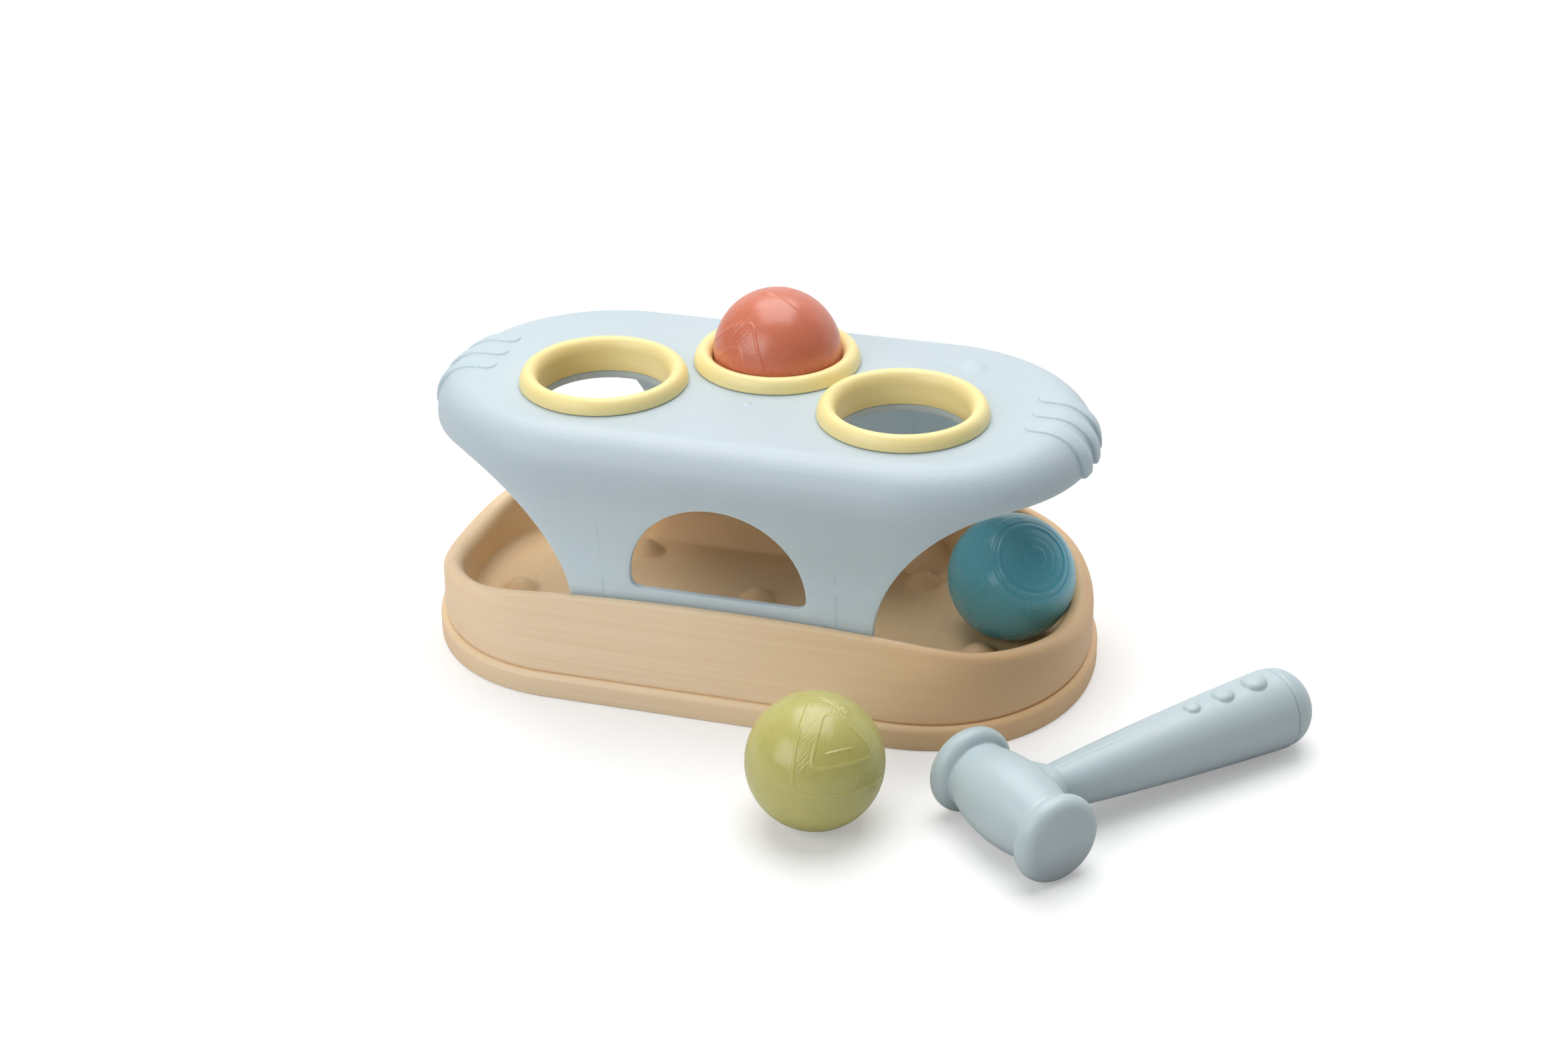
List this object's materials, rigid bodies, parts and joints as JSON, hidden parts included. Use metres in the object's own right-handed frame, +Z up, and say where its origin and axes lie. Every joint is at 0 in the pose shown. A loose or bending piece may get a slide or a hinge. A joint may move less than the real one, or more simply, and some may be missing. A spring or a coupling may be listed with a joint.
{
  "type": "pounding bench",
  "caption": "Toddler's pounding bench: a rounded bench with elastic grip rings stands in a ball tray, with translucent balls to knock through and a small mallet.",
  "frame": {"origin": "on the ground under the middle of the tray", "axes": "+X along the bench, towards the end that the teal ball lies at; +Y to the back, away from the arch window; +Z up"},
  "size_m": [0.354, 0.2211, 0.1394],
  "materials": {
    "tan_plastic": "satin moulded, fine flow lines and pale specks",
    "blue_plastic": "satin moulded, very fine streaks",
    "yellow_elastomer": "glossy soft elastomer",
    "red_plastic": "translucent, raised lines",
    "teal_plastic": "translucent, raised rings",
    "green_plastic": "translucent, raised lines",
    "hammer_plastic": "satin moulded",
    "screw_steel": "zinc plated"
  },
  "bodies": {
    "bench": {"tray": "tan_plastic", "bench_shell": "blue_plastic", "ring_left": "yellow_elastomer", "ring_centre": "yellow_elastomer", "ring_right": "yellow_elastomer", "screw_front_left": "screw_steel", "screw_front_right": "screw_steel", "screw_back_left": "screw_steel", "screw_back_right": "screw_steel"},
    "red_ball": {"red_ball_upper_half": "red_plastic", "red_ball_lower_half": "red_plastic"},
    "teal_ball": {"teal_ball_front_half": "teal_plastic", "teal_ball_back_half": "teal_plastic"},
    "green_ball": {"green_ball_front_half": "green_plastic", "green_ball_back_half": "green_plastic"},
    "hammer": {"hammer_head": "hammer_plastic", "hammer_handle": "hammer_plastic", "hammer_end_cap": "hammer_plastic"}
  },
  "joints": [
    {"name": "red_ball_press", "type": "slide", "parent": "bench", "child": "red_ball", "axis": [0, 0, 1], "range_m": [-0.0781, 0.06]},
    {"name": "teal_ball_roll", "type": "slide", "parent": "bench", "child": "teal_ball", "axis": [-0.9966, 0.0821, 0], "range_m": [0, 0.048]},
    {"name": "green_ball_lift", "type": "slide", "parent": "bench", "child": "green_ball", "axis": [0, 0, 1], "range_m": [0, 0.12]},
    {"name": "hammer_lift", "type": "slide", "parent": "bench", "child": "hammer", "axis": [0, 0, 1], "range_m": [0, 0.12]}
  ]
}
